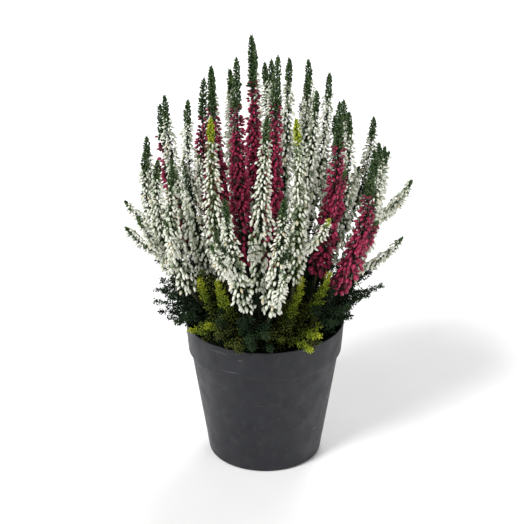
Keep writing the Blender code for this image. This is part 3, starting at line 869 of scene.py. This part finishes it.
# Deep buds take the lowest tones, as painted shade inside the spike.
INNER_SHADE_TONES = (0.0, 0.45)
YOUNG_TONES = (0.2, 0.62)
YOUNG_SHARE = 0.88
LUMP_SIZE = 6 * MM
PATCH_SIZE = 4 * MM
TASSEL_BUDS = 12
TASSEL_NOD = 66
TASSEL_DROP = 2.5 * MM
STALK_WIDTH = 0.45 * MM
STALK_RISE = 1.2 * MM
KNOB_LENGTH = 2.3 * MM
KNOB_WIDTH = 1.6 * MM
KNOB_STEP = 0.25 * MM
KNOB_TONES = (0.6, 0.97)
GREEN_SHARE = 0.5
GREEN_PLACES = (0.3, 0.6)
GREEN_LENGTHS = mm(24, 36)
GREEN_REACHES = mm(7, 10.5)


def hung_bud(centre, along, angle, far, nod, size, draw, tones=OUTER_TONES):
    """A bud of a (length, width) size, nodding by so many degrees."""
    out = around(along, angle)
    tilt = radians(nod + draw.uniform(-NOD_SPREAD, NOD_SPREAD))
    heading = outward_of(out) * cos(tilt) - UP * sin(tilt)
    heading = (heading + Vector((draw.uniform(-0.22, 0.22), draw.uniform(-0.22, 0.22), 0))).normalized()
    length, width = size[0] * draw.uniform(0.86, 1.12), size[1] * draw.uniform(0.86, 1.1)
    base = centre + out * far - heading * length * HELD_SHARE
    return Item(base, heading, around(heading, draw.uniform(0, 3)), length, width, draw.uniform(*tones))


def stalk(start, end, tone):
    reach = end - start
    return Item(start, reach, across_of(reach), reach.length, STALK_WIDTH, tone)


def lumps(place):
    """A share by which the buds bulge or stand back."""
    return 1 + 0.34 * noise.noise(place / LUMP_SIZE)


def left_out(share, place, thinning, draw):
    """Whether a bud is missing: more are towards the tip, in patches."""
    start, most = thinning
    return draw.random() < most * (share - start) / (1 - start) * (1 + 1.6 * noise.noise(place / PATCH_SIZE))


def add_buds(buds, curve, flower, radius, draw, hidden=False):
    """Buds all round a spike, less nodding and smaller towards its tip."""
    count = int(curve.length(0, flower.flowering) / flower.step)
    for i in range(count):
        share = ((i + 0.5) / count) ** 0.85
        if hidden and share < HIDDEN_SHARE and draw.random() > HIDDEN_KEPT:
            continue
        deep = draw.random() < INNER_SHARE
        centre, along = curve.on(share * flower.flowering)
        angle = i * TURN_TO_NEXT + draw.uniform(-0.4, 0.4)
        place = centre + around(along, angle) * LUMP_SIZE
        if left_out(share, place, flower.thinning, draw):
            continue
        layers = INNER_LAYERS if deep else OUTER_LAYERS
        reach = radius * min(1, flower.foot + flower.swell * share) * (1 - flower.taper * share**flower.power)
        far = reach * between(layers, draw.random() ** 1.5) * lumps(place) - BUD_SUNK
        nod = between(flower.nods, share**1.4)
        smaller = 1 - 0.32 * max(0, share - 0.4) / 0.6
        # Deep buds get tones of painted shade. Young buds near the tip get their own greener tones.
        tones = INNER_SHADE_TONES if deep else YOUNG_TONES if share > YOUNG_SHARE else OUTER_TONES
        bud = hung_bud(centre, along, angle, far, nod, [size * smaller for size in flower.bud], draw, tones)
        if deep:
            buds.inner.append(bud)
        else:
            buds.outer.append(bud)
            buds.stalks.append(stalk(centre + along * STALK_RISE, bud.place, 0.45))


def add_tassel(buds, curve, radius, size, draw):
    """Buds that hang under the foot of a spike."""
    centre, along = curve.on(0.02)
    for i in range(TASSEL_BUDS):
        bud = hung_bud(centre - UP * (draw.uniform(0.1, 1) * TASSEL_DROP), along, i * TURN_TO_NEXT,
                       radius * draw.uniform(0.35, 0.8), TASSEL_NOD, size, draw)
        buds.outer.append(bud)
        buds.stalks.append(stalk(centre, bud.place, 0.62))


def stubby(share):
    """The outline of a crimson tip: long, lumpy and blunt."""
    return (1 - 0.28 * share) * sqrt(1 - share**9) * (1 + 0.13 * sin(share * 41))


def pointed(share):
    """The outline of a white tip, widest below its middle."""
    return sin(pi * (0.24 + 0.64 * share))


def knobbly_tip(curve, first, colour, draw):
    """Unopened green buds, close together round the end of a spike."""
    items = []
    outline = stubby if colour == "crimson" else pointed
    count = int(curve.length(first) / KNOB_STEP)
    for i in range(count):
        share = (i + 0.5) / count
        centre, along = curve.on(first + (1 - first) * share)
        out = around(along, i * TURN_TO_NEXT + draw.uniform(-0.4, 0.4))
        far = FLOWERS[colour].tip_radius * outline(share) * draw.uniform(0.8, 1.15)
        heading = leaning(along, out, 66 - 38 * share + draw.uniform(-18, 18))
        size = (1 - 0.3 * share) * draw.uniform(0.8, 1.15)
        base = centre + out * far - heading * KNOB_LENGTH * size * 0.7
        items.append(Item(base, heading, along.cross(out), KNOB_LENGTH * size, KNOB_WIDTH * size,
                          draw.uniform(*KNOB_TONES)))
    return items


def spike_greens(spike, stalks, draw):
    """The axis, small leaves, bud stalks and knobbly tip, and on some a green shoot."""
    green = Shell()
    green.add_items(STALK, stalks)
    flowering = FLOWERS[spike.colour].flowering
    # The axis takes a low tone, painted shade inside the spike.
    add_stem(green, spike.curve, AXIS_RADII, 0.2, 12)
    leaves = leaves_along(spike.curve, 0.02, flowering, LEAVES[spike.colour], draw)
    leaves += leaves_along(spike.curve, flowering - 0.06, 1, LEAVES["tip"], draw)
    add_tip_sprigs(green, spike.curve, flowering - 0.05, TIP_SPRIG_STEPS[spike.colour], draw)
    knobs = knobbly_tip(spike.curve, flowering - 0.02, spike.colour, draw)
    for side in spike.sides:
        add_stem(green, side, SIDE_AXIS_RADII, 0.2)
        leaves += leaves_along(side, 0.05, SIDE_FLOWERING, LEAVES["side"], draw)
        knobs += knobbly_tip(side, 0.88, "side", draw)
    green.add_items(LEAF, leaves)
    green.add_items(KNOB, knobs)
    if spike.colour == "white" and draw.random() < GREEN_SHARE:
        curve = side_shoot(spike.curve, draw.uniform(*GREEN_PLACES), draw, draw.uniform(*GREEN_LENGTHS),
                           draw.uniform(*GREEN_REACHES))
        add_shoot(green, curve, GREEN_SHOOT, draw)
    return green


def dress_spike(spike):
    """One spike: its buds, fewer where others hide them, and its green parts."""
    draw = random.Random(f"{SEED} {spike.name}")
    hidden = spike.ring in HIDDEN_RINGS
    flower, radius = FLOWERS[spike.colour], RINGS[spike.ring].body_radius
    buds = Buds([], [], [])
    add_buds(buds, spike.curve, flower, radius, draw, hidden)
    add_tassel(buds, spike.curve, radius, flower.bud, draw)
    for side in spike.sides:
        add_buds(buds, side, FLOWERS["side"], SIDE_RADIUS, draw)
    petals = Shell()
    petals.add_items(INNER_BUD if hidden else OUTER_BUD, buds.outer)
    petals.add_items(DEEP_BUD, buds.inner)
    petals.piece(spike.name + "_buds", spike.name, spike.colour + "_bud")
    spike_greens(spike, buds.stalks, draw).piece(spike.name + "_green", spike.name, spike.leaf)


# Leafy stems
TRUNK_RADII = mm(1.9, 1.6)
BRANCH_RADII = mm(1.3, 0.975)
STEM_SIDES = 8
STEM_STEP = 1.5 * MM
TRUNK_SUNK = 8 * MM
BARK_RELIEF = 0.16
FILLING_PLACES = (0.1, 0.85)
FILLING_LENGTHS = mm(14, 28)
FILLING_REACHES = (0.6, 0.92)
FILLING_RADIUS = 3 * MM
GROUND_SHOOTS = 7
GROUND_LENGTHS = mm(22, 46)
GROUND_RING = mm(16, 46)
GROUND_SPREAD = 15.0
GROUND_LEANS = (8, 64)


def filling_twigs(stem, draw):
    """More short twigs, which close the pot's mouth with leaves."""
    twigs = []
    limbs = [stem.trunk, *stem.branches]
    while len(twigs) < FOLIAGE[stem.leaf].filling_twigs:
        curve = drawn_twig(limbs, FILLING_PLACES, FILLING_LENGTHS, FILLING_REACHES, draw)
        if clear_of_pot(curve, FILLING_RADIUS):
            twigs.append(curve)
    return twigs


def ground_shoots(stem, draw):
    """Shoots that rise from the soil round a stem and lean out over the rim."""
    shoots = []
    for _ in range(GROUND_SHOOTS):
        far = between(GROUND_RING, sqrt(draw.random()))
        foot = polar(far, stem.degrees + draw.uniform(-GROUND_SPREAD, GROUND_SPREAD), -1 * MM)
        length = draw.uniform(*GROUND_LENGTHS)
        lean = draw.uniform(*GROUND_LEANS) * far / GROUND_RING[1]
        out = outward_of(foot)
        sway = Vector((draw.uniform(-0.2, 0.2), draw.uniform(-0.2, 0.2), 0))
        end = foot + (leaning(UP, out, lean) + sway) * length
        shoots.append(Curve(foot, foot + UP * (length * 0.5) + out * length * 0.08, end))
    return shoots


def stem_wood(stem):
    """The trunk, from its hole in the soil, and the branches."""
    def bark(j, i):
        return 1 + BARK_RELIEF * noise.noise(Vector((j * 1.7, i * 0.6, stem.hole.x * 900)))

    wood = Shell()
    for limb in [stem.trunk, *stem.branches]:
        radii = TRUNK_RADII if limb is stem.trunk else BRANCH_RADII
        centres, widths = tapered(limb, radii, max(4, int(limb.length() / STEM_STEP)))
        if limb is stem.trunk:
            centres.insert(0, stem.hole - UP * TRUNK_SUNK)
            widths.insert(0, widths[0])
        wood.add_tube(centres, widths, STEM_SIDES, 0.5, bark)
    return wood


def stem_leaves(stem, draw):
    """Leaves along the branches, and sprigs on all the twigs and shoots."""
    shell = Shell()
    foliage = FOLIAGE[stem.leaf]
    for branch in stem.branches:
        shell.add_items(LEAF, leaves_along(branch, 0.12, 1, LEAVES["branch"], draw))
    for twig in stem.twigs:
        add_shoot(shell, twig, foliage.twigs, draw)
    for twig in filling_twigs(stem, draw):
        add_shoot(shell, twig, foliage.filling, draw)
    for curve in ground_shoots(stem, draw):
        # Dark ground shoots: painted shade at the foot of the plant.
        tone = draw.uniform(*foliage.ground_tones)
        add_shoot(shell, curve, GROUND_SHOOT._replace(stem_tone=tone, tone=tone), draw)
    return shell


def dress_stem(stem):
    leaves = stem_leaves(stem, random.Random(f"{SEED} {stem.name}"))
    stem_wood(stem).piece(stem.name + "_wood", stem.name, stem.leaf, "bark")
    leaves.piece(stem.name + "_leaves", stem.name, stem.leaf)


# Pot and soil
def wall_radius(height):
    """The pot's outer radius under the collar."""
    upper = RIM_RADIUS - COLLAR_TAPER - COLLAR_STEP
    return FOOT_RADIUS + (upper - FOOT_RADIUS) * height / STEP_HEIGHT


def pot_profile():
    """(radius, height) pairs from the pad under the middle, up outside and down inside."""
    collar = RIM_RADIUS - COLLAR_TAPER
    inner, outer = CHANNEL_RADII
    raised = FLOOR + CHANNEL_DEPTH
    low, high = CHANNEL_SLOPE
    under = [(PAD_RADIUS, 0), (inner, CHANNEL_DEPTH), (outer, CHANNEL_DEPTH), (outer + FOOT_BEVEL, 0)]
    outside = [(FOOT_RADIUS - FOOT_BEVEL, 0), (wall_radius(FOOT_BEVEL), FOOT_BEVEL),
               (wall_radius(STEP_HEIGHT), STEP_HEIGHT), (collar, STEP_HEIGHT + COLLAR_SLOPE),
               (RIM_RADIUS, POT_HEIGHT)]
    inside = [(RIM_RADIUS - WALL, POT_HEIGHT), (collar - WALL, STEP_HEIGHT + INNER_SLOPE[1]),
              (wall_radius(STEP_HEIGHT) - WALL, STEP_HEIGHT + INNER_SLOPE[0]),
              (wall_radius(FLOOR) - WALL - FOOT_BEVEL, FLOOR)]
    floor = [(outer + low, FLOOR), (outer - high, raised), (inner + high, raised), (PAD_RADIUS - low, FLOOR)]
    return under + outside + inside + floor


def rounded(profile):
    """The same profile with a small arc at every corner."""
    points = [Vector(pair) for pair in profile]
    made = [points[0]]
    for before, corner, after in zip(points, points[1:], points[2:]):
        back, ahead = before - corner, after - corner
        cut = min(POT_ROUNDING, 0.4 * back.length, 0.4 * ahead.length)
        arc = Curve(corner + back.normalized() * cut, corner, corner + ahead.normalized() * cut)
        made += [arc.at(i / ROUNDING_STEPS) for i in range(ROUNDING_STEPS + 1)]
    return made + [points[-1]]


def pot_mesh():
    """The turned pot, a little out of round as thin plastic is."""
    def warped(radius, height, j):
        return radius + POT_WARP * height / POT_HEIGHT * sin(4 * pi * j / POT_SIDES + 0.6)

    return mesh_of("pot_shell", *capped(rounded(pot_profile()), POT_SIDES, warped))


def drain_pegs():
    """Round pegs through the channel under the pot."""
    peg, peg_faces = capped([(DRAIN_RADIUS, height) for height in DRAIN_HEIGHTS], DRAIN_SIDES)
    middle = sum(CHANNEL_RADII) / 2
    points, faces = [], []
    for i in range(DRAIN_HOLES):
        angle = 2 * pi * (i + 0.5) / DRAIN_HOLES
        faces += [tuple(len(points) + corner for corner in face) for face in peg_faces]
        points += [(x + middle * cos(angle), y + middle * sin(angle), z) for x, y, z in peg]
    return mesh_of("drains", points, faces)


def dress_pot():
    """The pot, with its drain holes cut."""
    pot = added("pot_shell", pot_mesh())
    pegs = added("drains", drain_pegs())
    cut = pot.modifiers.new("drains", "BOOLEAN")
    cut.operation = "DIFFERENCE"
    cut.solver = "EXACT"
    cut.object = pegs
    bpy.context.view_layer.objects.active = pot
    bpy.ops.object.modifier_apply(modifier=cut.name)
    bpy.data.objects.remove(pegs)
    pot.data.shade_smooth()
    pot.data.set_sharp_from_angle(angle=SHARP_EDGE)
    dress(pot, "pot", "pot_plastic")


def soil_point(x, y):
    """A point on the soil's surface, a low crumbly mound."""
    out = hypot(x, y) / RIM_RADIUS
    rough = noise.fractal(Vector((x, y, 0)) / SOIL_GRAIN, 0.9, 2.1, 5)
    return Vector((x, y, SOIL_HEIGHT - SOIL_SINK + SOIL_MOUND * (1 - out**2) + SOIL_ROUGHNESS * rough))


def soil_place(reach, draw):
    far, angle = reach * sqrt(draw.random()), draw.uniform(0, 2 * pi)
    return soil_point(far * cos(angle), far * sin(angle))


def soil_bed(reach):
    """The soil from its surface down to the pot's floor."""
    top = [(reach * (i / SOIL_RINGS), 0) for i in range(1, SOIL_RINGS + 1)]
    bottom = FLOOR + CHANNEL_DEPTH + GAP
    low = [(reach, STEP_HEIGHT + SOIL_SLOPE[1]),
           (wall_radius(STEP_HEIGHT) - WALL - 2 * GAP, STEP_HEIGHT + SOIL_SLOPE[0]),
           (wall_radius(bottom) - WALL - SOIL_OFF_WALL, bottom)]
    surface = [soil_point(x, y) for x, y, _ in turned(top, SOIL_SIDES)]
    points = np.array([soil_point(0, 0), *surface, *turned(low, SOIL_SIDES), (0, 0, bottom)])
    bed = Shell()
    bed.add(points, closed_faces(SOIL_RINGS + len(low), SOIL_SIDES)[:, ::-1], 0.45, 0, 0)
    return bed


def soil_crumbs(reach, draw):
    """Crumbs and fibres that lie on the soil."""
    items = []
    for _ in range(CRUMBS):
        place = soil_place(reach - SOIL_OFF_WALL, draw)
        size = between(CRUMB_RADII, draw.random() ** 2.5)
        heading = Vector((draw.gauss(0, 1), draw.gauss(0, 1), draw.gauss(0, 1))).normalized()
        start = place + UP * (0.25 * size) - heading * size
        items.append(Item(start, heading, around(heading, 0), 2 * size, 2 * size * draw.uniform(0.7, 1.1),
                          draw.random() * 0.85))
    for _ in range(FIBRES):
        place = soil_place(reach - FIBRES_OFF_RIM, draw)
        heading = Vector((draw.gauss(0, 1), draw.gauss(0, 1), 0.12)).normalized()
        length = draw.uniform(*FIBRE_LENGTHS)
        start = place + UP * FIBRE_WIDTH - heading * length / 2
        items.append(Item(start, heading, around(heading, 0), length, FIBRE_WIDTH, draw.uniform(0.8, 1)))
    crumbs = Shell()
    crumbs.add_items(CRUMB, items)
    return crumbs


def dress_soil():
    reach = RIM_RADIUS - COLLAR_TAPER - WALL - GAP
    soil_bed(reach).piece("soil_bed", "soil", "soil_peat")
    crumbs = soil_crumbs(reach, random.Random(f"{SEED} soil"))
    crumbs.piece("soil_crumbs", "soil", "soil_peat", smooth=False)


# Stage
VIEW_AZIMUTH = 6.0
VIEW_ELEVATION = 25.0
CAMERA_DISTANCE = 1.2
CAMERA_LENS = 126
AIM = Vector((-0.002, 0, 0.137))
FLOOR_REACH = 6.0
FLOOR_RINGS = 4
FLOOR_BEND = 0.8
BEND_STEPS = 8
FLOOR_SIDES = 64
FLOOR_GREYS = (0.84, 0.87)
WORLD_STRENGTH = 0.36
# Name, the side that the light comes from, its width in degrees, and its strength
LIGHTS = [("key", (-0.7, -0.9, 1.35), 20, 3.0), ("fill", (1.1, -0.8, 0.7), 40, 0.6),
          ("rim", (0.2, 0.9, 1.5), 30, 1.8)]


def floor():
    """A pale round floor that curves up far from the plant."""
    path = [(FLOOR_REACH * i / FLOOR_RINGS, 0.0) for i in range(1, FLOOR_RINGS + 1)]
    for i in range(1, BEND_STEPS + 1):
        angle = pi / 2 * i / BEND_STEPS
        path.append((FLOOR_REACH + FLOOR_BEND * sin(angle), FLOOR_BEND * (1 - cos(angle))))
    faces = [(0, 1 + j, 1 + (j + 1) % FLOOR_SIDES) for j in range(FLOOR_SIDES)]
    faces += [(a, d, c, b) for a, b, c, d in bands(len(path), FLOOR_SIDES, 1)]
    made = added("floor", mesh_of("floor", [(0, 0, 0), *turned(path, FLOOR_SIDES)], faces))
    made.data.shade_smooth()
    look = Look("floor_paper", 0.9, 0.2)
    look.colour(look.ramp(look.noise(30 * MM), [(0.3, FLOOR_GREYS[0]), (0.7, FLOOR_GREYS[1])]))
    made.data.materials.append(look.material)


def light_scene():
    """A white world, and soft lights of one strength over the whole floor."""
    world = bpy.data.worlds.new("studio")
    world.use_nodes = True
    background = world.node_tree.nodes["Background"].inputs
    background["Color"].default_value = (1, 1, 1, 1)
    background["Strength"].default_value = WORLD_STRENGTH
    bpy.context.scene.world = world
    for name, place, width, power in LIGHTS:
        lamp = bpy.data.lights.new(name, "SUN")
        lamp.angle = radians(width)
        lamp.energy = power
        light = added(name, lamp)
        light.location = place
        light.rotation_euler = (AIM - Vector(place)).to_track_quat("-Z", "Y").to_euler()
    bpy.context.scene.view_settings.view_transform = "Standard"
    bpy.context.scene.view_settings.look = "None"


def place_camera():
    camera = added("camera", bpy.data.cameras.new("camera"))
    camera.data.lens = CAMERA_LENS
    turn, rise = radians(VIEW_AZIMUTH), radians(VIEW_ELEVATION)
    back = Vector((sin(turn) * cos(rise), -cos(turn) * cos(rise), sin(rise)))
    camera.location = AIM + back * CAMERA_DISTANCE
    camera.rotation_euler = (-back).to_track_quat("-Z", "Y").to_euler()
    bpy.context.scene.camera = camera


spikes, stems = laid_out_plant()
for spike in spikes:
    dress_spike(spike)
for stem in stems:
    dress_stem(stem)
dress_pot()
dress_soil()
floor()
light_scene()
place_camera()
